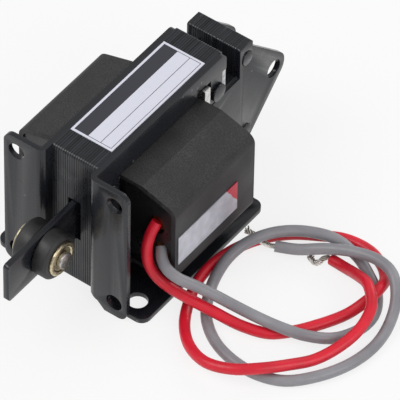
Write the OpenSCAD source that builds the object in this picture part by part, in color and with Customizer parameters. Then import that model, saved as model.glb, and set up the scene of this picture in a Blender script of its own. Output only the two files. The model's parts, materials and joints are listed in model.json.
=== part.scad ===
// Push-pull solenoid: laminated frame with two side plates, a coil through its
// window, and a T-shaped laminated plunger with a rubber-buffered push tongue.
// X runs through the stack, +Y is the pull end, +Z is up, and the feet rest at
// z = 0. The origin is the centre of the four foot holes.

/* [Laminated frame] */
// Thickness of the lamination stack
core_w = 13; // [10:0.5:18]
// Length of the frame laminations
core_l = 48.5; // [46:0.5:54]
// Height of the frame laminations
core_h = 42; // [40:0.5:50]
// Height of the upper and lower limbs
limb_h = 7; // [5:0.25:8]
// Length of the front yoke
yoke_l = 7; // [5:0.25:8]
// Length of the window that the coil sits in
window_l = 32; // [30:0.25:34]
// Corner radius of the frame laminations
core_r = 1; // [0.5:0.25:2]
// Thickness of one lamination
lam_t = 0.65; // [0.5:0.05:1.3]
// Depth of the groove between two laminations
groove_d = 0.12; // [0.05:0.01:0.2]
// Width of the groove between two laminations
groove_w = 0.14; // [0.08:0.02:0.2]

/* [Side plates] */
// Thickness of the side plates
side_t = 1.4; // [1:0.1:2]
// Inside radius of the bends
bend_r = 0.6; // [0.4:0.1:1.2]
// Corner radius at the rear of the side plates
side_r = 2; // [1:0.25:3]
// How far the front flanges stand before the laminations
flange_out = 3.5; // [3:0.25:6]
// Width of a front flange, from the laminations to its outer edge
flange_w = 11.5; // [11:0.25:14]
// Corner radius of the front flanges
flange_r = 2.5; // [1:0.25:3.5]
// Chamfer at the lower inner corner of a front flange
flange_cut = 3; // [2:0.25:4]
// Diameter of the front flange holes
flange_hole_d = 4.5; // [3:0.25:5]
// Distance of a flange hole from the outer edge
flange_hole_in = 3.7; // [3.5:0.1:5]
// Height between the two holes of a flange
flange_hole_pitch = 33; // [28:0.5:34]
// Reach of a foot, from the laminations to its outer edge
foot_w = 15.5; // [14.5:0.25:20]
// Length of the feet
foot_l = 48; // [44:0.5:49]
// Corner radius of the feet
foot_r = 2.5; // [1:0.25:4]
// Diameter of the foot holes
foot_hole_d = 5; // [3:0.25:5.5]
// Distance of a foot hole from the outer edge
foot_hole_in = 5.4; // [4.5:0.1:6]
// Distance between the two holes of a foot
foot_hole_pitch = 38.5; // [34:0.5:40]

/* [Rivets and shading rings] */
// Diameter of the frame rivets
rivet_d = 3; // [2:0.25:3.5]
// Diameter of their heads
rivet_head_d = 4.8; // [4:0.2:5.4]
// Height of their heads
rivet_head_h = 0.8; // [0.4:0.1:1.2]
// Thickness of a shading ring's band, across the pole face
ring_t = 1.2; // [0.8:0.1:1.5]
// Depth of a shading ring's band, into the pole face
ring_d = 1.4; // [1:0.1:1.8]
// Height of a shading ring
ring_h = 7.6; // [6:0.1:7.8]

/* [Coil] */
// Reach of the coil from the middle plane, on the lead side
coil_right = 23.8; // [23.4:0.1:25]
// Reach of the coil from the middle plane, on the other side
coil_left = 22.2; // [21:0.1:25]
// Length of the wrapped coil
coil_l = 31; // [28:0.25:31.5]
// Thickness of the tape wrap
wrap_t = 1.2; // [0.8:0.1:1.5]
// Drop of the upper shoulders
shoulder_drop = 3; // [1:0.25:4]
// Width of the upper shoulders
shoulder_run = 9.8; // [8:0.2:10]
// Corner radius of the wrapped coil
coil_r = 3; // [2:0.25:3.5]
// Thickness of the bobbin flanges
bobbin_flange_t = 1.4; // [1:0.1:1.8]
// Wall of the bobbin tube
bobbin_wall = 0.8; // [0.6:0.1:1.2]
// How far the flanges lie inside the ends of the wrap
bobbin_in = 0.5; // [0.3:0.1:1]

/* [Plunger] */
// Height of the plunger stem
stem_h = 15; // [13:0.5:16]
// Height of the plunger head
head_h = 34; // [30:0.5:36]
// Length of the plunger head
head_l = 5; // [4:0.25:6]
// Air gap before the pole faces, at rest
air_gap = 5.5; // [5.5:0.25:7]
// Thickness of the push plate in the middle of the plunger
plate_t = 1.6; // [1:0.1:2]
// Height of the push tongue
tongue_h = 11.8; // [10:0.2:12]
// Reach of the push tongue before the laminations
tongue_out = 26; // [24:0.5:32]
// Thickness of the cheek plates
cheek_t = 1.4; // [1:0.1:1.6]
// Height of a cheek where it leaves the head
cheek_root_h = 30; // [26:0.5:30]
// Distance of the pull hole behind the head
pull_back = 8.9; // [8:0.1:12]
// Diameter of the pull hole
pull_hole_d = 5; // [4:0.25:5.5]
// Rim of the cheeks around the pull hole
pull_rim = 1.8; // [1.5:0.1:3]
// Diameter of the head rivets
head_rivet_d = 4; // [3:0.25:4]
// Height between the head rivets
head_rivet_pitch = 24.8; // [22:0.2:26]

/* [Bumpers] */
// Diameter of the rubber bumpers
bumper_d = 12; // [10:0.25:12.5]
// Thickness of a rubber bumper
bumper_t = 4.2; // [3:0.1:4.5]
// Distance of the bumpers before the laminations
bumper_out = 11.8; // [11.8:0.1:14]
// Diameter of the bumper washers
washer_d = 9; // [8:0.25:9.5]
// Thickness of the bumper washers
washer_t = 0.8; // [0.6:0.1:1]
// Diameter of the bumper pin
bumper_pin_d = 3; // [2:0.25:3.5]
// Diameter of its riveted ends
bumper_head_d = 4.4; // [4:0.1:5]

/* [Labels and leads] */
// Width of the name plate
plate_w = 12; // [9:0.5:12.5]
// Length of the name plate
plate_l = 36; // [30:0.5:38]
// Distance of the name plate behind the front of the laminations
plate_back = 6.4; // [5:0.1:8]
// Length of the coil label
coil_label_l = 23; // [18:0.5:25]
// Height of the coil label
coil_label_h = 9; // [7:0.25:9]
// Thickness of the labels
label_t = 0.2; // [0.1:0.05:0.3]
// Outside diameter of the leads
lead_d = 2.8; // [2:0.1:2.8]
// Diameter of the bared lead ends
tip_d = 1.4; // [0.8:0.1:1.6]

/* [Hidden] */
$fn = 48;
past = 1;
seat_gap = 0.05;

// Frame: places along Y and Z
mid_z = core_h / 2;
front_y = -(foot_hole_pitch / 2 + 2.75);
rear_y = front_y + core_l;
window_y = front_y + yoke_l;
window_end = window_y + window_l;
window_h = core_h - 2 * limb_h;
lam_count = round(core_w / lam_t);
lam_pitch = core_w / lam_count;
half_w = core_w / 2;
side_x = half_w + side_t;

// Side plates: bends, and the opening for the cheeks' stems
bend_x = side_x + bend_r;
flange_y = front_y - flange_out;
web_y = flange_y + side_t + bend_r;
foot_bend_z = side_t + bend_r;

// Running clearances round the plunger
stem_clear = 0.4;
stem_gap = 0.4;
cheek_stem_h = stem_h + 0.4;
gap_h = cheek_stem_h + 2 * stem_clear;
slot_clear = 1;
slot_w = plate_t + 2 * slot_clear;
slot_h = tongue_h + 0.8;
web_gap_h = gap_h + 0.2;

// Rivet places, above and below the middle
rivet_lift = gap_h / 2 + 1.1 + rivet_d / 2;
rivet_ys = [front_y + yoke_l / 2, rear_y - 3.5];

// Shading rings seat in the pole faces beside the stem gap
ring_low = gap_h / 2 + 0.1;
ring_y = rear_y - 0.1;
ring_side = 1.3;

// Coil keepers lie across the frame behind the coil
keeper_l = 2.2;
keeper_h = 4;
keeper_lug = 1;
keeper_lug_h = 6.4;
keeper_clear = 0.1;
keeper_z = window_h / 2 - keeper_clear - keeper_h;
keeper_x = side_x + 0.1;
keeper_hole_side = 1.6;
keeper_hole_low = 0.4;
keeper_hole_h = 6.8;

// Coil
coil_gap = 0.3;
coil_h = window_h - 2 * coil_gap;
coil_y = window_y + (window_l - coil_l) / 2;
coil_end = coil_y + coil_l;
bore_w = core_w + 2 * cheek_t + 0.6;
bore_h = gap_h;
bobbin_y = coil_y + bobbin_in;
bobbin_end = coil_end - bobbin_in;
winding_y = bobbin_y + bobbin_flange_t;
winding_l = bobbin_end - bobbin_flange_t - winding_y;
keeper_y = coil_end + keeper_clear;
arc_steps = 6;

// Plunger
head_y = rear_y + air_gap;
stem_y = window_y + stem_gap + air_gap;
half_pack = (core_w - plate_t) / 2;
pack_count = round(half_pack / lam_t);
pack_pitch = half_pack / pack_count;
pull_y = head_y + head_l + pull_back;
pull_r = pull_hole_d / 2 + pull_rim;
cheek_x = half_w + cheek_t;
head_rivet_y = head_y + head_l / 2 + 0.4;
head_rivet_up = 0.25;
stem_rivet_y = head_y - 14;
stem_rivet_d = 4;
tongue_y = front_y - tongue_out;
tongue_r = 1;
head_r = 0.6;
bumper_edge = 0.6;
washer_rim = 1.1;
washer_edge = 0.2;
washer_web = 0.5;
bumper_y = front_y - bumper_out;
washer_x = plate_t / 2 + bumper_t;
pin_head_h = 1.2;

// Leads: where they leave the coil, and the points that they follow
slot_r = lead_d / 2 + 0.8;
red_exit = [18, 24];
grey_exit = [19.4, 15.8];
exit_h = 5.6;
label_in = 1.1;
label_z = mid_z - 7.5;
RED = [[17.9, -13.7, 24.6], [17.5, -15.6, 22], [17.3, -16.8, 18], [17.9, -17, 13.6],
    [19.8, -16.6, 10], [23.4, -15.8, 7.4], [28.5, -14.9, 6], [35, -13.8, 4.8],
    [41.5, -12.1, 3], [47.4, -9, 1.5], [51.8, -4.4, 1.4], [55.4, 1.2, 1.4], [58.4, 6.6, 1.9],
    [60.5, 11, 3.7], [61.2, 15.6, 4.5], [59.8, 20.2, 3.2], [55.8, 24.4, 1.8],
    [50.6, 26.8, 1.4], [44, 26.4, 1.4], [38.2, 23.4, 1.4], [32.8, 19.8, 1.4],
    [28.4, 14.9, 1.4], [25.3, 8.8, 1.4], [23.8, 2, 1.4], [24, -5, 1.4], [26.3, -12, 1.4],
    [30, -18.8, 1.4], [35.4, -24, 2.2], [42, -26.6, 3.4], [48.6, -25.4, 4.5],
    [53.8, -21.4, 4.7], [57.8, -16, 3.8], [61.4, -10.2, 3], [64, -4, 3.8], [65, 2.6, 4.8],
    [63.8, 8.8, 6.2], [59.8, 13.2, 7.1], [55, 16, 4.8], [50, 18.2, 2.2], [45.2, 19, 1.4]];
RED_TIP = [[45.2, 19, 1.4], [44, 19.2, 1.2], [43.2, 18.2, 1], [43.1, 17, 0.9],
    [42.3, 16.3, 0.8], [41.2, 16.6, 0.8], [40.2, 17.4, 0.8]];
GREY = [[19.2, -13.7, 16.8], [20.8, -15.5, 15.4], [23.1, -16.5, 14], [26, -16, 12.4],
    [29.2, -14.2, 10.6], [33, -12, 8.2], [38, -10.2, 6], [43.6, -9, 4.8], [49.6, -8, 4.4],
    [55.4, -5.6, 3.2], [60.4, -1, 1.6], [63.4, 5, 1.4], [63.4, 10.8, 1.4], [60.4, 16.2, 1.4],
    [55, 20.4, 1.4], [49.6, 22.8, 2.4], [43.4, 22.8, 4.2], [37.4, 20.6, 4.6],
    [32.8, 16.4, 5.4], [29.6, 11.6, 5.6], [27.2, 7, 4.4], [26.4, 2, 3], [27.2, -3.6, 1.6],
    [29.6, -9.2, 1.4], [33.2, -14.4, 1.4], [38.8, -18.6, 1.4], [45.4, -20.8, 1.4],
    [52.4, -21, 1.4], [59, -18.6, 1.4], [64.2, -12.8, 1.4], [67.8, -5.6, 1.4], [69.2, 2, 1.4],
    [68.4, 9.2, 1.7], [66.4, 15.2, 4.4], [62.4, 19.6, 6.7], [56.8, 21.4, 6.8],
    [50, 20.8, 5.8], [43.6, 18.8, 4.3], [37.8, 15.7, 2.9], [32.8, 13.2, 2.9]];
GREY_TIP = [[32.8, 13.2, 2.9], [31.6, 12.6, 2.9], [29.6, 12.2, 3.3], [27.4, 12.4, 3.7],
    [24.6, 12.8, 3.7]];

// ---- Shared shapes ----

// A profile drawn as [y, z], as thick as w along X from x
module along_x(x, w) {
    translate([x, 0, 0]) rotate([90, 0, 90]) linear_extrude(w) children();
}

// A profile drawn as [x, z], as long as l along Y from y
module along_y(y, l) {
    translate([0, y + l, 0]) rotate([90, 0, 0]) linear_extrude(l) children();
}

// A round bar along X, symmetric about the middle plane
module cross_bar(y, z, d, w) {
    translate([-w / 2, y, z]) rotate([0, 90, 0]) cylinder(d = d, h = w);
}

// A rectangle with its corner at the origin and all four corners rounded
module rounded_rect(l, h, r) {
    translate([r, 0]) square([l - 2 * r, h]);
    translate([0, r]) square([l, h - 2 * r]);
    for (x = [r, l - r], y = [r, h - r]) translate([x, y]) circle(r);
}

// The same above and below the first axis
module both_ways() {
    children();
    mirror([0, 1]) children();
}

// The point where the line from corner c touches a circle round p
function tangent_point(c, p, r) =
    let (d = c - p, a = atan2(d[1], d[0]) - acos(r / norm(d)))
    p + r * [cos(a), sin(a)];

// The arc of radius r that rounds corner b between a and c
function corner_arc(a, b, c, r) =
    let (u = (a - b) / norm(a - b), v = (c - b) / norm(c - b),
        half = acos(u * v) / 2, m = b + (u + v) / norm(u + v) * r / sin(half),
        s = b + u * r / tan(half) - m, e = b + v * r / tan(half) - m,
        start = atan2(s[1], s[0]), turn = atan2(e[1], e[0]) - start,
        sweep = turn > 180 ? turn - 360 : turn < -180 ? turn + 360 : turn)
    [for (i = [0:arc_steps]) let (t = start + sweep * i / arc_steps)
        m + r * [cos(t), sin(t)]];

// ---- Laminated frame ----

// Outline of a frame lamination, its outer edge drawn in by g
module core_outline(g) {
    difference() {
        translate([front_y + g, g])
            rounded_rect(core_l - 2 * g, core_h - 2 * g, core_r);
        translate([window_y, limb_h]) square([window_l, window_h]);
        translate([window_end - past, mid_z - gap_h / 2])
            square([rear_y - window_end + 2 * past, gap_h]);
        translate([0, mid_z]) both_ways() {
            translate([window_end - past, keeper_z - keeper_clear])
                square([keeper_y + keeper_l + keeper_clear - window_end + past,
                    keeper_h + 2 * keeper_clear]);
            for (z = [ring_low, ring_low + ring_h - ring_t])
                translate([ring_y - ring_d - seat_gap, z - seat_gap])
                    square([ring_d + past, ring_t + 2 * seat_gap]);
        }
    }
}

// Laminations side by side on a slightly smaller block, so that they part
// at fine grooves. The first and the last are flush with the block's ends.
module laminated(x, count, pitch) {
    along_x(x + pitch / 2, (count - 1) * pitch) children(0);
    for (i = [0:count - 1]) {
        from = i == 0 ? 0 : groove_w / 2;
        to = i == count - 1 ? 0 : groove_w / 2;
        along_x(x + i * pitch + from, pitch - from - to) children(1);
    }
}

module rivet_holes(w) {
    for (y = rivet_ys, s = [-1, 1])
        cross_bar(y, mid_z + s * rivet_lift, rivet_d + 2 * seat_gap, w);
}

module stator_core() {
    color([0.13, 0.14, 0.17])
    difference() {
        laminated(-half_w, lam_count, lam_pitch) {
            core_outline(groove_d);
            core_outline(0);
        }
        rivet_holes(core_w + 2 * past);
        translate([-slot_w / 2, front_y - past, mid_z - slot_h / 2])
            cube([slot_w, yoke_l + 2 * past, slot_h]);
    }
}

// ---- Side plates ----

// Web of a side plate, open round the coil, the stem and the keepers
module side_web() {
    difference() {
        union() {
            translate([web_y, foot_bend_z])
                square([rear_y - side_r - web_y, core_h - foot_bend_z]);
            translate([0, foot_bend_z]) square([rear_y, core_h - side_r - foot_bend_z]);
            translate([rear_y - side_r, core_h - side_r]) circle(side_r);
        }
        translate([window_y, limb_h]) square([window_l, window_h]);
        translate([window_end - past, mid_z - web_gap_h / 2])
            square([rear_y - window_end + 2 * past, web_gap_h]);
        translate([0, mid_z]) both_ways() {
            translate([keeper_y - keeper_hole_side, keeper_z - keeper_hole_low])
                square([keeper_l + 2 * keeper_hole_side, keeper_hole_h]);
            translate([ring_y - ring_d - seat_gap, web_gap_h / 2 - past])
                square([ring_d + past,
                    ring_low + ring_h + seat_gap + past - web_gap_h / 2]);
        }
    }
}

// A quarter of a bent sheet, in the corner between two legs along X and Y
module bend(l) {
    linear_extrude(l) intersection() {
        difference() {
            circle(bend_r + side_t);
            circle(bend_r);
        }
        translate([-bend_r - side_t, -bend_r - side_t]) square(bend_r + side_t);
    }
}

module front_flange() {
    w = half_w + flange_w - bend_x;
    hole_x = half_w + flange_w - flange_hole_in;
    translate([bend_x, web_y, flange_cut]) bend(core_h - flange_cut);
    difference() {
        along_y(flange_y, side_t) {
            translate([bend_x, 0]) difference() {
                union() {
                    square([w - flange_r, core_h]);
                    translate([0, flange_r]) square([w, core_h - 2 * flange_r]);
                    for (z = [flange_r, core_h - flange_r])
                        translate([w - flange_r, z]) circle(flange_r);
                }
                polygon([[-past, -past], [flange_cut, -past], [flange_cut, 0],
                    [0, flange_cut], [-past, flange_cut]]);
            }
        }
        for (s = [-1, 1])
            translate([hole_x, flange_y - past, mid_z + s * flange_hole_pitch / 2])
                rotate([-90, 0, 0]) cylinder(d = flange_hole_d, h = side_t + 2 * past);
    }
}

module foot() {
    w = half_w + foot_w - bend_x;
    hole_x = half_w + foot_w - foot_hole_in;
    translate([bend_x, foot_l / 2, foot_bend_z]) rotate([90, 0, 0]) bend(foot_l);
    difference() {
        linear_extrude(side_t) translate([bend_x, -foot_l / 2]) {
            square([w - foot_r, foot_l]);
            translate([0, foot_r]) square([w, foot_l - 2 * foot_r]);
            for (y = [foot_r, foot_l - foot_r])
                translate([w - foot_r, y]) circle(foot_r);
        }
        for (s = [-1, 1]) translate([hole_x, s * foot_hole_pitch / 2, -past])
            cylinder(d = foot_hole_d, h = side_t + 2 * past);
    }
}

module side_plate() {
    color([0.12, 0.13, 0.15])
    difference() {
        union() {
            along_x(half_w, side_t) side_web();
            front_flange();
            foot();
        }
        rivet_holes(2 * side_x + 2 * past);
    }
}

module side_plate_right() side_plate();

module side_plate_left() mirror([1, 0, 0]) side_plate();

// ---- Rivets and shading rings ----

module frame_rivets() {
    color([0.14, 0.15, 0.17])
    for (y = rivet_ys, s = [-1, 1]) {
        cross_bar(y, mid_z + s * rivet_lift, rivet_d, 2 * side_x + rivet_head_h);
        for (t = [-1, 1])
            translate([t * (side_x + rivet_head_h / 2), 0, 0])
                cross_bar(y, mid_z + s * rivet_lift, rivet_head_d, rivet_head_h);
    }
}

// Band round a part of the pole face, with its legs outside the stack
module shading_ring() {
    color([0.72, 0.73, 0.74])
    along_y(ring_y - ring_d, ring_d) translate([0, mid_z + ring_low])
        difference() {
            translate([-half_w - ring_side, 0])
                square([core_w + 2 * ring_side, ring_h]);
            translate([-half_w - seat_gap, ring_t])
                square([core_w + 2 * seat_gap, ring_h - 2 * ring_t]);
        }
}

module shading_ring_upper() shading_ring();

module shading_ring_lower() translate([0, 0, core_h]) mirror([0, 0, 1]) shading_ring();

// ---- Coil ----

// Outline of the coil in [x, z], drawn in by g
function coil_points(g) =
    let (r = coil_right - g, l = -coil_left + g, h = coil_h / 2 - g, d = shoulder_drop,
        tr = [r - shoulder_run, h], br = [r, h - d], cr = [r, -h], cl = [l, -h],
        bl = [l, h - d], tl = [l + shoulder_run, h], rr = coil_r - g)
    concat([tl, tr], corner_arc(tr, br, cr, rr), corner_arc(br, cr, cl, rr),
        corner_arc(cr, cl, bl, rr), corner_arc(cl, bl, tl, rr));

module coil_outline(g) translate([0, mid_z]) polygon(coil_points(g));

module bore_outline(g) {
    translate([-bore_w / 2 - g, mid_z - bore_h / 2 - g])
        square([bore_w + 2 * g, bore_h + 2 * g]);
}

// Upright slot through the front bobbin flange, where a lead comes out
module lead_slot(p) {
    translate([p[0], bobbin_y - past, p[1]]) rotate([-90, 0, 0]) {
        linear_extrude(bobbin_flange_t + 2 * past) {
            for (s = [-1, 1]) translate([0, s * exit_h / 2 - s * slot_r]) circle(slot_r);
            translate([-slot_r, slot_r - exit_h / 2])
                square([2 * slot_r, exit_h - 2 * slot_r]);
        }
    }
}

module bobbin() {
    color([0.10, 0.10, 0.11])
    difference() {
        union() {
            for (y = [bobbin_y, bobbin_end - bobbin_flange_t])
                along_y(y, bobbin_flange_t) coil_outline(wrap_t);
            along_y(bobbin_y, bobbin_end - bobbin_y) bore_outline(bobbin_wall);
        }
        along_y(bobbin_y - past, bobbin_end - bobbin_y + 2 * past) bore_outline(0);
        lead_slot(red_exit);
        lead_slot(grey_exit);
    }
}

module winding() {
    color([0.55, 0.27, 0.12])
    along_y(winding_y, winding_l) difference() {
        coil_outline(wrap_t);
        bore_outline(bobbin_wall);
    }
}

module coil_wrap() {
    color([0.09, 0.09, 0.10])
    along_y(coil_y, coil_l) difference() {
        coil_outline(0);
        coil_outline(wrap_t);
    }
}

// Bar across the frame behind the coil, with an upright lug at each end
module coil_keeper() {
    color([0.78, 0.79, 0.80])
    translate([0, keeper_y, mid_z + keeper_z]) {
        translate([-keeper_x, 0, 0]) cube([2 * keeper_x, keeper_l, keeper_h]);
        for (s = [-1, 1]) translate([s * (keeper_x + keeper_lug / 2) - keeper_lug / 2, 0, 0])
            cube([keeper_lug, keeper_l, keeper_lug_h]);
    }
}

module coil_keeper_upper() coil_keeper();

module coil_keeper_lower() translate([0, 0, core_h]) mirror([0, 0, 1]) coil_keeper();

// ---- Labels ----

module name_plate() {
    color([0.90, 0.91, 0.92])
    translate([-plate_w / 2, front_y + plate_back, core_h]) cube([plate_w, plate_l, label_t]);
}

module coil_label() {
    color([0.85, 0.86, 0.87])
    translate([coil_right, coil_y + label_in, label_z]) cube([label_t, coil_label_l, coil_label_h]);
}

// ---- Plunger ----

// Outline of a plunger lamination, drawn in by g
module plunger_outline(g, h) {
    translate([head_y + g, mid_z - head_h / 2 + g])
        rounded_rect(head_l - 2 * g, head_h - 2 * g, head_r);
    translate([stem_y + g, mid_z - h / 2 + g])
        square([head_y + head_l / 2 - stem_y - g, h - 2 * g]);
}

module plunger_holes() {
    for (s = [-1, 1]) cross_bar(head_rivet_y, mid_z + s * head_rivet_pitch / 2,
        head_rivet_d + 2 * seat_gap, 2 * cheek_x + 2 * past);
    cross_bar(stem_rivet_y, mid_z, stem_rivet_d + 2 * seat_gap, 2 * cheek_x + 2 * past);
}

module plunger_pack() {
    color([0.13, 0.14, 0.17])
    difference() {
        laminated(plate_t / 2, pack_count, pack_pitch) {
            plunger_outline(groove_d, stem_h);
            plunger_outline(0, stem_h);
        }
        plunger_holes();
    }
}

module plunger_core_right() plunger_pack();

module plunger_core_left() mirror([1, 0, 0]) plunger_pack();

module push_plate() {
    color([0.14, 0.15, 0.17])
    difference() {
        along_x(-plate_t / 2, plate_t) {
            plunger_outline(0, stem_h);
            translate([tongue_y, mid_z - tongue_h / 2])
                rounded_rect(stem_y - tongue_y + 2 * tongue_r, tongue_h, tongue_r);
        }
        plunger_holes();
        cross_bar(bumper_y, mid_z, bumper_pin_d + 2 * seat_gap, core_w);
    }
}

// Cheek: the plunger's T with a rounded ear that carries the pull hole
module cheek_plate() {
    root = [head_y + head_l, cheek_root_h / 2];
    ear = tangent_point(root, [pull_y, 0], pull_r);
    color([0.12, 0.13, 0.15])
    difference() {
        union() {
            along_x(half_w, cheek_t) plunger_outline(0, cheek_stem_h);
            along_x(half_w, cheek_t) translate([0, mid_z])
                polygon([[head_y + head_r, root[1]], root, ear, [ear[0], -ear[1]],
                    [root[0], -root[1]], [head_y + head_r, -root[1]]]);
            translate([half_w, pull_y, mid_z]) rotate([0, 90, 0])
                cylinder(r = pull_r, h = cheek_t);
        }
        cross_bar(pull_y, mid_z, pull_hole_d, 2 * cheek_x + 2 * past);
        plunger_holes();
    }
}

module cheek_plate_right() cheek_plate();

module cheek_plate_left() mirror([1, 0, 0]) cheek_plate();

module head_rivets() {
    color([0.15, 0.16, 0.18])
    for (s = [-1, 1]) cross_bar(head_rivet_y, mid_z + s * head_rivet_pitch / 2,
        head_rivet_d, 2 * cheek_x + 2 * head_rivet_up);
}

module stem_rivet() {
    color([0.15, 0.16, 0.18])
    cross_bar(stem_rivet_y, mid_z, stem_rivet_d, 2 * cheek_x);
}

// ---- Bumpers ----

// A solid turned about the bumper pin from points [radius, x]
module turned(points) {
    translate([0, bumper_y, mid_z]) rotate([0, 90, 0]) rotate_extrude() polygon(points);
}

module bumper() {
    r = bumper_d / 2;
    a = bumper_pin_d / 2 + seat_gap;
    x = plate_t / 2;
    color([0.08, 0.08, 0.09])
    turned([[a, x], [r - bumper_edge / 2, x], [r, x + bumper_edge / 2],
        [r, washer_x - bumper_edge], [r - bumper_edge, washer_x], [a, washer_x]]);
}

module bumper_right() bumper();

module bumper_left() mirror([1, 0, 0]) bumper();

// Cup washer: a thin web inside a raised rim
module bumper_washer() {
    r = washer_d / 2;
    a = bumper_pin_d / 2 + seat_gap;
    x = washer_x;
    color([0.72, 0.62, 0.40])
    turned([[a, x], [r, x], [r, x + washer_t - washer_edge], [r - washer_edge, x + washer_t],
        [r - washer_rim, x + washer_t], [r - washer_rim - washer_edge, x + washer_web],
        [a, x + washer_web]]);
}

module bumper_washer_right() bumper_washer();

module bumper_washer_left() mirror([1, 0, 0]) bumper_washer();

module bumper_pin() {
    color([0.70, 0.71, 0.72]) {
        cross_bar(bumper_y, mid_z, bumper_pin_d, 2 * washer_x + 2 * washer_web + pin_head_h);
        for (s = [-1, 1]) translate([s * (washer_x + washer_web + pin_head_h / 2), 0, 0])
            cross_bar(bumper_y, mid_z, bumper_head_d, pin_head_h);
    }
}

// ---- Leads ----

function unit(v) = v / norm(v);

// Direction of the route at point i
function heading(p, i) = unit(p[min(i + 1, len(p) - 1)] - p[max(i - 1, 0)]);

function squared(n, t) = unit(n - (n * t) * t);

// Tube of radius r along points p, with one ring at each point
module tube(p, r) {
    sides = 8;
    n = len(p);
    normals = [for (i = 0, v = squared([1, 0.2, 0.1], heading(p, 0)); i < n;
        i = i + 1, v = i < n ? squared(v, heading(p, i)) : v) v];
    rings = [for (i = [0:n - 1], k = [0:sides - 1])
        let (a = 360 * (k + 0.5) / sides, u = normals[i], w = cross(heading(p, i), u))
        p[i] + r * (cos(a) * u + sin(a) * w)];
    walls = [for (i = [0:n - 2], k = [0:sides - 1])
        let (a = i * sides + k, b = i * sides + (k + 1) % sides)
        each [[a, b, b + sides], [a, b + sides, a + sides]]];
    ends = [[for (k = [sides - 1:-1:0]) k], [for (k = [0:sides - 1]) (n - 1) * sides + k]];
    polyhedron(rings, concat(ends, walls));
}

module lead_red() color([0.80, 0.10, 0.13]) tube(RED, lead_d / 2);

module lead_grey() color([0.55, 0.56, 0.58]) tube(GREY, lead_d / 2);

// Bared, tinned end that carries on from the end of a lead
module lead_tip(p) color([0.80, 0.81, 0.82]) tube(p, tip_d / 2);

module lead_tip_red() lead_tip(RED_TIP);

module lead_tip_grey() lead_tip(GREY_TIP);

stator_core();
side_plate_right();
side_plate_left();
frame_rivets();
shading_ring_upper();
shading_ring_lower();
bobbin();
winding();
coil_wrap();
coil_keeper_upper();
coil_keeper_lower();
name_plate();
coil_label();
plunger_core_right();
plunger_core_left();
push_plate();
cheek_plate_right();
cheek_plate_left();
head_rivets();
stem_rivet();
bumper_right();
bumper_left();
bumper_washer_right();
bumper_washer_left();
bumper_pin();
lead_red();
lead_grey();
lead_tip_red();
lead_tip_grey();
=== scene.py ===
"""Looks of the push pull solenoid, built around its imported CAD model.

Lengths are in metres in the part's own frame: +X is the lead side, +Y the pull end, +Z up.
"""

import json
import math

import bmesh
import bpy
from mathutils import Matrix, Vector


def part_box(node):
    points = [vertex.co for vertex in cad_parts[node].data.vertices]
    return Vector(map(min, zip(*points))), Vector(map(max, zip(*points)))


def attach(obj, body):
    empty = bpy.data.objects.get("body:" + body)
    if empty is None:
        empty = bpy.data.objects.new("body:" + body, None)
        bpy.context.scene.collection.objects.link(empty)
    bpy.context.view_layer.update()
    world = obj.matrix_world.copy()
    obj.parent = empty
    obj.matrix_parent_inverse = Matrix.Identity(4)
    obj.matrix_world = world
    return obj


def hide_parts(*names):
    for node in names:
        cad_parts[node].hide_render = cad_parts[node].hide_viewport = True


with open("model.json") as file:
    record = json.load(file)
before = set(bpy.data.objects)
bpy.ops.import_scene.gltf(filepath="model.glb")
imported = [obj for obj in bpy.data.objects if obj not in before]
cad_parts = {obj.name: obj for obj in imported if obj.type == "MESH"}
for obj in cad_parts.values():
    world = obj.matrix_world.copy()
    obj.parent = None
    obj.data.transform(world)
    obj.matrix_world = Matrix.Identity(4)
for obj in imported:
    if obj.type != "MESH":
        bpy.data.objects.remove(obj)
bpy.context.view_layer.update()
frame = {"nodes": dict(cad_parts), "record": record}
MM = 0.001

# ---- Camera ----

CAMERA_TARGET = Vector((18.7, 2.0, 19.2)) * MM
CAMERA_AZIMUTH = math.radians(35.9)
CAMERA_ELEVATION = math.radians(46.8)
CAMERA_ROLL = math.radians(1.15)
CAMERA_DISTANCE = 1.426
CAMERA_LENS = 547.2
CAMERA_CLIP = (0.05, 20)
SENSOR_WIDTH = 36.0


def add_camera():
    """Camera at the photograph's viewing angle: a long lens, far away."""
    azimuth, elevation = CAMERA_AZIMUTH, CAMERA_ELEVATION
    back = Vector((math.sin(azimuth) * math.cos(elevation),
                   -math.cos(azimuth) * math.cos(elevation), math.sin(elevation)))
    level = Vector((math.cos(azimuth), math.sin(azimuth), 0))
    upright = back.cross(level)
    right = math.cos(CAMERA_ROLL) * level + math.sin(CAMERA_ROLL) * upright
    up = back.cross(right)
    data = bpy.data.cameras.new("camera")
    data.sensor_width = SENSOR_WIDTH
    data.lens = CAMERA_LENS
    data.clip_start, data.clip_end = CAMERA_CLIP
    camera = bpy.data.objects.new("camera", data)
    turned = Matrix((right, up, back)).transposed().to_4x4()
    camera.matrix_world = Matrix.Translation(CAMERA_TARGET + back * CAMERA_DISTANCE) @ turned
    bpy.context.collection.objects.link(camera)
    bpy.context.scene.camera = camera


# ---- Leads: the same points as the part's source, in millimetres ----

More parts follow.
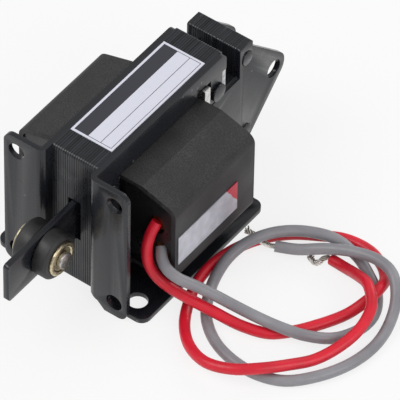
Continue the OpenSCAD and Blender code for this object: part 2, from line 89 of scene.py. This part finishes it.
LEAD_D = 2.8
ROUND_STEPS = 5
RED = [[17.9, -13.7, 24.6], [17.5, -15.6, 22], [17.3, -16.8, 18], [17.9, -17, 13.6],
    [19.8, -16.6, 10], [23.4, -15.8, 7.4], [28.5, -14.9, 6], [35, -13.8, 4.8],
    [41.5, -12.1, 3], [47.4, -9, 1.5], [51.8, -4.4, 1.4], [55.4, 1.2, 1.4],
    [58.4, 6.6, 1.9], [60.5, 11, 3.7], [61.2, 15.6, 4.5], [59.8, 20.2, 3.2],
    [55.8, 24.4, 1.8], [50.6, 26.8, 1.4], [44, 26.4, 1.4], [38.2, 23.4, 1.4],
    [32.8, 19.8, 1.4], [28.4, 14.9, 1.4], [25.3, 8.8, 1.4], [23.8, 2, 1.4], [24, -5, 1.4],
    [26.3, -12, 1.4], [30, -18.8, 1.4], [35.4, -24, 2.2], [42, -26.6, 3.4],
    [48.6, -25.4, 4.5], [53.8, -21.4, 4.7], [57.8, -16, 3.8], [61.4, -10.2, 3],
    [64, -4, 3.8], [65, 2.6, 4.8], [63.8, 8.8, 6.2], [59.8, 13.2, 7.1], [55, 16, 4.8],
    [50, 18.2, 2.2], [45.2, 19, 1.4]]
RED_TIP = [[45.2, 19, 1.4], [44, 19.2, 1.2], [43.2, 18.2, 1], [43.1, 17, 0.9],
    [42.3, 16.3, 0.8], [41.2, 16.6, 0.8], [40.2, 17.4, 0.8]]
GREY = [[19.2, -13.7, 16.8], [20.8, -15.5, 15.4], [23.1, -16.5, 14], [26, -16, 12.4],
    [29.2, -14.2, 10.6], [33, -12, 8.2], [38, -10.2, 6], [43.6, -9, 4.8], [49.6, -8, 4.4],
    [55.4, -5.6, 3.2], [60.4, -1, 1.6], [63.4, 5, 1.4], [63.4, 10.8, 1.4], [60.4, 16.2, 1.4],
    [55, 20.4, 1.4], [49.6, 22.8, 2.4], [43.4, 22.8, 4.2], [37.4, 20.6, 4.6],
    [32.8, 16.4, 5.4], [29.6, 11.6, 5.6], [27.2, 7, 4.4], [26.4, 2, 3], [27.2, -3.6, 1.6],
    [29.6, -9.2, 1.4], [33.2, -14.4, 1.4], [38.8, -18.6, 1.4], [45.4, -20.8, 1.4],
    [52.4, -21, 1.4], [59, -18.6, 1.4], [64.2, -12.8, 1.4], [67.8, -5.6, 1.4], [69.2, 2, 1.4],
    [68.4, 9.2, 1.7], [66.4, 15.2, 4.4], [62.4, 19.6, 6.7], [56.8, 21.4, 6.8],
    [50, 20.8, 5.8], [43.6, 18.8, 4.3], [37.8, 15.7, 2.9], [32.8, 13.2, 2.9]]
GREY_TIP = [[32.8, 13.2, 2.9], [31.6, 12.6, 2.9], [29.6, 12.2, 3.3], [27.4, 12.4, 3.7],
    [24.6, 12.8, 3.7]]


def smooth_route(points, steps=6):
    """Catmull-Rom line through points given in millimetres, as vectors in metres."""
    line = [Vector(p) * MM for p in points]
    ends = [2 * line[0] - line[1]] + line + [2 * line[-1] - line[-2]]
    route = []
    for a, b, c, d in zip(ends, ends[1:], ends[2:], ends[3:]):
        for k in range(steps):
            t = k / steps
            route.append(0.5 * (2 * b + (c - a) * t + (2 * a - 5 * b + 4 * c - d) * t ** 2
                                + (3 * b - a - 3 * c + d) * t ** 3))
    return route + [line[-1]]


def curve_piece(name, routes, radius, material):
    """Round bars of one radius along routes, each as one spline of a curve object."""
    data = bpy.data.curves.new(name, "CURVE")
    data.dimensions = "3D"
    data.bevel_depth = radius
    data.bevel_resolution = ROUND_STEPS
    data.use_fill_caps = True
    for route in routes:
        spline = data.splines.new("POLY")
        spline.points.add(len(route) - 1)
        spline.use_smooth = True
        for point, place in zip(spline.points, route):
            point.co = (*place, 1)
    data.materials.append(material)
    piece = bpy.data.objects.new(name, data)
    bpy.context.collection.objects.link(piece)
    return piece


STRANDS = 7
STRAND_D = 0.42 * MM
STRAND_TURNS = 1.6
STRAND_SIDE = Vector((0.1, 0.2, 1)).normalized()


def strand_routes(route, spread):
    """A middle strand and six twisted round it, which open towards the end."""
    count = len(route)
    routes = [[p.copy() for p in route]]
    for s in range(STRANDS - 1):
        strand = []
        for i, place in enumerate(route):
            ahead = (route[min(i + 1, count - 1)] - route[max(i - 1, 0)]).normalized()
            u = (STRAND_SIDE - STRAND_SIDE.dot(ahead) * ahead).normalized()
            v = ahead.cross(u)
            along = i / (count - 1)
            angle = math.tau * (s / (STRANDS - 1) + STRAND_TURNS * along)
            reach = STRAND_D * (1 + spread[s] * along ** 2)
            place = place + reach * (math.cos(angle) * u + math.sin(angle) * v)
            place.z = max(place.z, STRAND_D / 2)
            strand.append(place)
        routes.append(strand)
    return routes


def add_lead(name, points, tip_points, spread, sleeve, tinned):
    """A lead with its bared end, in place of the CAD solids on the same route."""
    route = smooth_route(points)
    for place in route:
        place.z = max(place.z, LEAD_D / 2 * MM)
    lead = curve_piece(f"{name}_sleeve", [route], LEAD_D / 2 * MM, sleeve)
    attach(lead, "stator")
    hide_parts(name)
    tip_node = name.replace("lead", "lead_tip")
    strands = curve_piece(f"{tip_node}_strands", strand_routes(smooth_route(tip_points), spread),
                          STRAND_D / 2, tinned)
    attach(strands, "stator")
    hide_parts(tip_node)


# ---- Materials ----

SPOT_EDGES = (0.22, 0.08)


class Finish:
    """One material, built up by calls that add nodes and give back their outputs."""

    def __init__(self, name, color, roughness, **sockets):
        self.material = bpy.data.materials.new(name)
        self.material.use_nodes = True
        self.tree = self.material.node_tree
        self.shader = self.tree.nodes["Principled BSDF"]
        self.shader.inputs["Base Color"].default_value = (*color, 1)
        self.shader.inputs["Roughness"].default_value = roughness
        for socket, value in sockets.items():
            self.shader.inputs[socket.replace("_", " ")].default_value = value
        self.place = self.add("ShaderNodeTexCoord").outputs["Object"]
        self.normal = None

    def add(self, kind, **settings):
        node = self.tree.nodes.new(kind)
        for setting, value in settings.items():
            setattr(node, setting, value)
        return node

    def feed(self, socket, value):
        """Links an output to a socket, or sets a plain number or colour on it."""
        if isinstance(value, bpy.types.NodeSocket):
            self.tree.links.new(value, socket)
        else:
            socket.default_value = value

    def math(self, operation, *values):
        node = self.add("ShaderNodeMath", operation=operation)
        for socket, value in zip(node.inputs, values):
            self.feed(socket, value)
        return node.outputs[0]

    def scaled(self, factors, turn=(0, 0, 0)):
        node = self.add("ShaderNodeMapping")
        node.inputs["Scale"].default_value = factors
        node.inputs["Rotation"].default_value = turn
        self.feed(node.inputs["Vector"], self.place)
        return node.outputs[0]

    def noise(self, per_mm, detail=3, roughness=0.5, place=None):
        """Noise with a grain of about 1 / per_mm millimetres."""
        node = self.add("ShaderNodeTexNoise")
        node.inputs["Scale"].default_value = per_mm / MM
        node.inputs["Detail"].default_value = detail
        node.inputs["Roughness"].default_value = roughness
        self.feed(node.inputs["Vector"], place or self.place)
        return node.outputs["Fac"]

    def spots(self, per_mm, share):
        """Small round spots on a share of the cells, from 0 to 1."""
        node = self.add("ShaderNodeTexVoronoi")
        node.inputs["Scale"].default_value = per_mm / MM
        self.feed(node.inputs["Vector"], self.place)
        near = self.span(node.outputs["Distance"], *SPOT_EDGES, 0, 1)
        cell = self.add("ShaderNodeSeparateColor")
        self.feed(cell.inputs[0], node.outputs["Color"])
        chosen = self.math("LESS_THAN", cell.outputs[0], share)
        return self.math("MULTIPLY", near, chosen)

    def span(self, value, low, high, to_low, to_high):
        """value's stretch from low to high, as a stretch from to_low to to_high."""
        node = self.add("ShaderNodeMapRange")
        for socket, number in zip(node.inputs, (value, low, high, to_low, to_high)):
            self.feed(socket, number)
        return node.outputs[0]

    def blend(self, share, first, second):
        """A colour from first to second, as share goes from 0 to 1."""
        node = self.add("ShaderNodeMix", data_type="RGBA")
        self.feed(node.inputs["Factor"], share)
        colours = [s for s in node.inputs if s.type == "RGBA"]
        for socket, value in zip(colours, (first, second)):
            self.feed(socket, (*value, 1) if isinstance(value, tuple) else value)
        return [s for s in node.outputs if s.type == "RGBA"][0]

    def color(self, value):
        self.feed(self.shader.inputs["Base Color"], value)

    def roughness(self, value):
        self.feed(self.shader.inputs["Roughness"], value)

    def bump(self, height, depth_mm, strength=1.0):
        """Relief of that depth, on top of any relief before it."""
        node = self.add("ShaderNodeBump")
        node.inputs["Strength"].default_value = strength
        node.inputs["Distance"].default_value = depth_mm * MM
        self.feed(node.inputs["Height"], height)
        if self.normal:
            self.feed(node.inputs["Normal"], self.normal)
        self.normal = node.outputs[0]
        self.feed(self.shader.inputs["Normal"], self.normal)

    def axis(self, name):
        """The place along one axis, in millimetres."""
        node = self.add("ShaderNodeSeparateXYZ")
        self.feed(node.inputs[0], self.place)
        return self.math("DIVIDE", node.outputs[name], MM)


DUST_COLOR = (0.25, 0.25, 0.27)


def lacquer(name, color, rough=(0.2, 0.34), dust=0.03):
    """Dipped black lacquer: gently wavy, with dull patches and a few specks of dust."""
    finish = Finish(name, color, rough[0], IOR=1.5)
    patches = finish.noise(0.12, 4, 0.6)
    finish.roughness(finish.span(patches, 0.35, 0.7, *rough))
    specks = finish.spots(0.5, dust)
    faint = finish.math("MULTIPLY", specks, 0.5)
    finish.color(finish.blend(faint, color, DUST_COLOR))
    finish.bump(finish.noise(0.35, 2), 0.05, 0.5)
    finish.bump(finish.noise(3.0, 3), 0.006, 0.5)
    return finish.material


def lamination_lacquer():
    """Lacquer over the cut edges of the sheets: each sheet a little lighter or darker."""
    finish = Finish("lamination_lacquer", (0.012, 0.013, 0.016), 0.3, IOR=1.5)
    sheet = finish.noise(1.0, 1, 0.5, finish.scaled((1.5, 0.02, 0.02)))
    finish.color(finish.blend(finish.span(sheet, 0.3, 0.7, 0, 1),
                              (0.007, 0.008, 0.010), (0.026, 0.028, 0.034)))
    finish.roughness(finish.span(finish.noise(0.3, 4), 0.35, 0.7, 0.24, 0.42))
    finish.bump(finish.noise(2.5, 4), 0.015, 0.6)
    return finish.material


# Heights in millimetres over which the painted sheen on the tape rises from none to full
SHEEN_HEIGHTS = (28, 34)


def tape():
    """Matt black cloth tape: a fine mottled grain, with a painted sheen that makes the upper
    side lighter.
    """
    finish = Finish("coil_tape", (0.02, 0.02, 0.021), 0.55, IOR=1.45)
    grain = finish.noise(3.2, 4, 0.75)
    broad = finish.noise(0.09, 3)
    # Painted sheen: the grain is lightened towards the top of the coil, where the light falls
    painted_sheen = finish.span(finish.axis("Z"), *SHEEN_HEIGHTS, 0, 1)
    share = finish.math("MULTIPLY", finish.span(grain, 0.42, 0.68, 0, 1),
                        finish.math("MULTIPLY_ADD", painted_sheen, 0.75, 0.15))
    share = finish.math("MULTIPLY", share, finish.span(broad, 0.35, 0.6, 0.35, 1))
    finish.color(finish.blend(share, (0.013, 0.013, 0.015), (0.085, 0.083, 0.08)))
    finish.roughness(finish.span(broad, 0.3, 0.7, 0.42, 0.62))
    finish.bump(grain, 0.03, 0.7)
    finish.bump(finish.noise(0.25, 2), 0.08, 0.5)
    return finish.material


def moulded_black():
    """Glossy moulded nylon with a shallow grain."""
    finish = Finish("bobbin_black", (0.010, 0.010, 0.011), 0.3, IOR=1.5)
    finish.roughness(finish.span(finish.noise(0.4, 3), 0.3, 0.7, 0.22, 0.4))
    finish.bump(finish.noise(1.2, 3), 0.02, 0.5)
    return finish.material


def rubber():
    """Black rubber: fine pitted grain and a dull bloom."""
    finish = Finish("bumper_rubber", (0.018, 0.018, 0.019), 0.5, IOR=1.5)
    bloom = finish.span(finish.noise(0.35, 4), 0.35, 0.7, 0, 1)
    finish.color(finish.blend(bloom, (0.014, 0.014, 0.015), (0.030, 0.029, 0.028)))
    finish.roughness(finish.span(bloom, 0, 1, 0.4, 0.6))
    finish.bump(finish.noise(4.0, 3), 0.012, 0.6)
    return finish.material


def bare_metal(name, color, rough, dull, grain=(1, 1, 1)):
    """Bare or plated metal with grain along one way and duller patches."""
    finish = Finish(name, color, rough, Metallic=1.0)
    patches = finish.span(finish.noise(0.8, 4, 0.65), 0.38, 0.68, 0, 1)
    finish.color(finish.blend(patches, color, dull))
    lines = finish.noise(3.0, 3, 0.6, finish.scaled(grain))
    finish.roughness(finish.span(lines, 0.3, 0.7, rough - 0.08, rough + 0.14))
    finish.bump(lines, 0.01, 0.5)
    return finish.material


def copper_wire():
    """Enamelled winding wire, seen end to end as fine ridges."""
    finish = Finish("winding_copper", (0.42, 0.16, 0.06), 0.35, Metallic=0.8)
    ridges = finish.math("SINE", finish.math("MULTIPLY", finish.axis("Y"), 40))
    finish.bump(ridges, 0.05, 0.6)
    finish.color(finish.blend(finish.noise(0.8, 3), (0.34, 0.12, 0.045), (0.5, 0.2, 0.08)))
    return finish.material


def sleeve(name, color, deep):
    """Soft PVC sleeve: satin, with faint draw marks and slight changes of colour."""
    finish = Finish(name, color, 0.36, IOR=1.5)
    tone = finish.span(finish.noise(0.12, 3), 0.35, 0.65, 0, 1)
    finish.color(finish.blend(tone, color, deep))
    finish.roughness(finish.span(finish.noise(1.0, 4), 0.3, 0.7, 0.3, 0.46))
    finish.bump(finish.noise(0.9, 3), 0.03, 0.5)
    finish.shader.inputs["Subsurface Weight"].default_value = 0.06
    finish.shader.inputs["Subsurface Scale"].default_value = 0.8 * MM
    return finish.material


def name_plate_print():
    """Printed foil: pale border and columns, a dark band and thin rules, without words."""
    finish = Finish("name_plate_print", (0.72, 0.73, 0.82), 0.35, IOR=1.5)
    low, high = (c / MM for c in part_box("name_plate"))
    x = finish.math("SUBTRACT", finish.axis("X"), low.x)
    y = finish.math("SUBTRACT", finish.axis("Y"), low.y)
    width, length = high.x - low.x, high.y - low.y

    def inside(value, start, end):
        return finish.math("MULTIPLY", finish.math("GREATER_THAN", value, start),
                           finish.math("LESS_THAN", value, end))

    border, rule, band_end, middle_rule = 0.62, 0.16, 4.6, 8.1
    panel = finish.math("MULTIPLY", inside(x, border, width - border),
                        inside(y, border, length - border))
    inner = finish.math("MULTIPLY", inside(x, border + rule, width - border - rule),
                        inside(y, border + rule, length - border - rule))
    outline = finish.math("SUBTRACT", panel, inner)
    band = finish.math("MULTIPLY", panel, finish.math("LESS_THAN", x, band_end))
    middle = finish.math("MULTIPLY", panel, inside(x, middle_rule, middle_rule + rule))
    dark = finish.math("MAXIMUM", band, finish.math("MAXIMUM", outline, middle))
    scuffs = finish.span(finish.noise(0.9, 4, 0.7), 0.5, 0.85, 0, 0.18)
    pale = finish.blend(scuffs, (0.70, 0.71, 0.80), (0.45, 0.45, 0.5))
    finish.color(finish.blend(dark, pale, (0.035, 0.036, 0.046)))
    finish.bump(finish.noise(0.25, 2), 0.04, 0.4)
    return finish.material


def coil_label_print():
    """Silver film with a red corner, creased where it was pressed on."""
    finish = Finish("coil_label_print", (0.55, 0.56, 0.62), 0.32, Metallic=0.35)
    low, high = (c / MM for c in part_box("coil_label"))
    y = finish.math("SUBTRACT", high.y, finish.axis("Y"))
    z = finish.math("SUBTRACT", high.z, finish.axis("Z"))
    corner_l, corner_h = 4.2, 6.5
    slope = finish.math("ADD", finish.math("DIVIDE", y, corner_l),
                        finish.math("DIVIDE", z, corner_h))
    wobble = finish.math("MULTIPLY", finish.math("SUBTRACT", finish.noise(0.5, 3), 0.5), 0.35)
    corner = finish.span(finish.math("ADD", slope, wobble), 0.97, 1.03, 1, 0)
    shade = finish.span(finish.noise(0.35, 4), 0.3, 0.7, 0, 1)
    silver = finish.blend(shade, (0.60, 0.61, 0.68), (0.44, 0.45, 0.50))
    finish.color(finish.blend(corner, silver, (0.55, 0.03, 0.06)))
    finish.bump(finish.noise(0.35, 3, 0.6, finish.scaled((1, 1, 3))), 0.12, 0.5)
    return finish.material


# ---- CAD nodes with softened edges ----

MERGE_DISTANCE = 0.002 * MM
FLAT_ANGLE = math.radians(0.5)


def softened(node, material, edge_mm, segments=2, angle=25):
    """A copy of a CAD node with its sharp edges rounded, shown in the node's place."""
    source = frame["nodes"][node]
    mesh = source.data.copy()
    mesh.name = f"{node}_finish"
    tidy = bmesh.new()
    tidy.from_mesh(mesh)
    bmesh.ops.remove_doubles(tidy, verts=tidy.verts, dist=MERGE_DISTANCE)
    bmesh.ops.dissolve_limit(tidy, angle_limit=FLAT_ANGLE, verts=tidy.verts,
                             edges=tidy.edges)
    tidy.to_mesh(mesh)
    tidy.free()
    mesh.materials.clear()
    mesh.materials.append(material)
    piece = bpy.data.objects.new(f"{node}_finish", mesh)
    bpy.context.collection.objects.link(piece)
    rounding = piece.modifiers.new("edges", "BEVEL")
    rounding.width = edge_mm * MM
    rounding.segments = segments
    rounding.limit_method = "ANGLE"
    rounding.angle_limit = math.radians(angle)
    rounding.harden_normals = True
    mesh.shade_smooth()
    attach(piece, body_of(node))
    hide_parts(node)
    return piece


def body_of(node):
    bodies = frame["record"]["behaviour"]["bodies"]
    return next(name for name, nodes in bodies.items() if node in nodes)


def finish_node(node, material):
    """Gives a CAD node its material, with its mesh as it is."""
    data = frame["nodes"][node].data
    data.materials.clear()
    data.materials.append(material)


# ---- Stage and light ----

FLOOR_SIZE = 6.0
FLOOR_TONE = 0.85
SHADOW_SHARE = 0.2
WORLD_LEVEL = 0.55
LAMP_AIM = Vector((0.015, 0, 0.02))
# Name, place, width and power of each lamp
LAMPS = [("key", (-0.35, -0.45, 0.75), 0.5, 3.0), ("side", (0.8, -0.1, 0.45), 0.5, 2.0),
         ("rear", (0.1, 0.8, 0.5), 0.4, 1.5)]


def stage_material(name, tone, shadow_share):
    """Pale surface that the camera and reflections see as nearly white, with a soft shadow."""
    material = bpy.data.materials.new(name)
    material.use_nodes = True
    nodes, links = material.node_tree.nodes, material.node_tree.links
    nodes.remove(nodes["Principled BSDF"])
    output = nodes["Material Output"]
    diffuse = nodes.new("ShaderNodeBsdfDiffuse")
    diffuse.inputs["Color"].default_value = (tone, tone, tone, 1)
    glow = nodes.new("ShaderNodeEmission")
    path = nodes.new("ShaderNodeLightPath")
    seen = path.outputs["Is Camera Ray"]
    for ray in ("Is Glossy Ray", "Is Transmission Ray"):
        either = nodes.new("ShaderNodeMath")
        either.operation = "MAXIMUM"
        links.new(seen, either.inputs[0])
        links.new(path.outputs[ray], either.inputs[1])
        seen = either.outputs[0]
    share = nodes.new("ShaderNodeMath")
    share.operation = "MULTIPLY"
    share.inputs[1].default_value = 1 - shadow_share
    mixed = nodes.new("ShaderNodeMixShader")
    links.new(seen, share.inputs[0])
    links.new(share.outputs[0], mixed.inputs[0])
    links.new(diffuse.outputs[0], mixed.inputs[1])
    links.new(glow.outputs[0], mixed.inputs[2])
    links.new(mixed.outputs[0], output.inputs["Surface"])
    return material


def add_floor():
    mesh = bpy.data.meshes.new("floor")
    half = FLOOR_SIZE / 2
    corners = [(-half, -half, 0), (half, -half, 0), (half, half, 0), (-half, half, 0)]
    mesh.from_pydata(corners, [], [(0, 1, 2, 3)])
    floor = bpy.data.objects.new("floor", mesh)
    bpy.context.collection.objects.link(floor)
    mesh.materials.append(stage_material("floor", FLOOR_TONE, SHADOW_SHARE))


def add_lamp(name, place, size, watts):
    """Square soft lamp aimed at the middle of the object."""
    data = bpy.data.lights.new(name, "AREA")
    data.size = size
    data.energy = watts
    lamp = bpy.data.objects.new(name, data)
    bpy.context.collection.objects.link(lamp)
    lamp.location = place
    aim = LAMP_AIM - Vector(place)
    lamp.rotation_euler = aim.to_track_quat("-Z", "Y").to_euler()


def set_world(level):
    """White where the camera looks past the floor, and a dim even light elsewhere."""
    world = bpy.data.worlds.new("studio")
    world.use_nodes = True
    bpy.context.scene.world = world
    nodes, links = world.node_tree.nodes, world.node_tree.links
    background = nodes["Background"]
    background.inputs["Color"].default_value = (1, 1, 1, 1)
    path = nodes.new("ShaderNodeLightPath")
    strength = nodes.new("ShaderNodeMapRange")
    strength.inputs["To Min"].default_value = level
    strength.inputs["To Max"].default_value = 1
    links.new(path.outputs["Is Camera Ray"], strength.inputs["Value"])
    links.new(strength.outputs[0], background.inputs["Strength"])


# ---- The scene ----

add_camera()
red_sleeve = sleeve("red_sleeve", (0.78, 0.012, 0.035), (0.62, 0.008, 0.025))
grey_sleeve = sleeve("grey_sleeve", (0.30, 0.295, 0.315), (0.24, 0.235, 0.255))
tinned = bare_metal("tinned_copper", (0.78, 0.76, 0.72), 0.3, (0.45, 0.42, 0.38))
add_lead("lead_red", RED, RED_TIP, (0.3, 0.8, 0.2, 0.5, 0.9, 0.4), red_sleeve, tinned)
add_lead("lead_grey", GREY, GREY_TIP, (0.9, 0.2, 0.6, 1.2, 0.3, 0.7), grey_sleeve, tinned)

core_lacquer = lamination_lacquer()
plate_lacquer = lacquer("plate_lacquer", (0.012, 0.013, 0.017))
for node in ("stator_core", "plunger_core_right", "plunger_core_left"):
    finish_node(node, core_lacquer)
for node in ("side_plate_right", "side_plate_left"):
    softened(node, plate_lacquer, 0.22, segments=3)
for node in ("cheek_plate_right", "cheek_plate_left", "push_plate"):
    softened(node, plate_lacquer, 0.15)
for node in ("frame_rivets", "head_rivets", "stem_rivet"):
    softened(node, plate_lacquer, 0.2)
finish_node("coil_wrap", tape())
finish_node("bobbin", moulded_black())
finish_node("winding", copper_wire())
ring_metal = bare_metal("ring_metal", (0.62, 0.62, 0.63), 0.3, (0.35, 0.35, 0.36), (1, 0.2, 1))
for node in ("shading_ring_upper", "shading_ring_lower"):
    softened(node, ring_metal, 0.12)
keeper_metal = bare_metal("keeper_steel", (0.78, 0.78, 0.77), 0.26, (0.5, 0.49, 0.47))
for node in ("coil_keeper_upper", "coil_keeper_lower"):
    softened(node, keeper_metal, 0.12)
finish_node("name_plate", name_plate_print())
finish_node("coil_label", coil_label_print())
bumper_rubber = rubber()
for node in ("bumper_right", "bumper_left"):
    softened(node, bumper_rubber, 0.35, segments=3)
washer_brass = bare_metal("washer_brass", (0.72, 0.63, 0.42), 0.28, (0.42, 0.36, 0.24))
for node in ("bumper_washer_right", "bumper_washer_left"):
    softened(node, washer_brass, 0.08)
pin_steel = bare_metal("pin_steel", (0.56, 0.54, 0.52), 0.32, (0.3, 0.29, 0.28))
softened("bumper_pin", pin_steel, 0.25, segments=3)

add_floor()
set_world(WORLD_LEVEL)
for lamp in LAMPS:
    add_lamp(*lamp)
bpy.context.scene.view_settings.view_transform = "Standard"
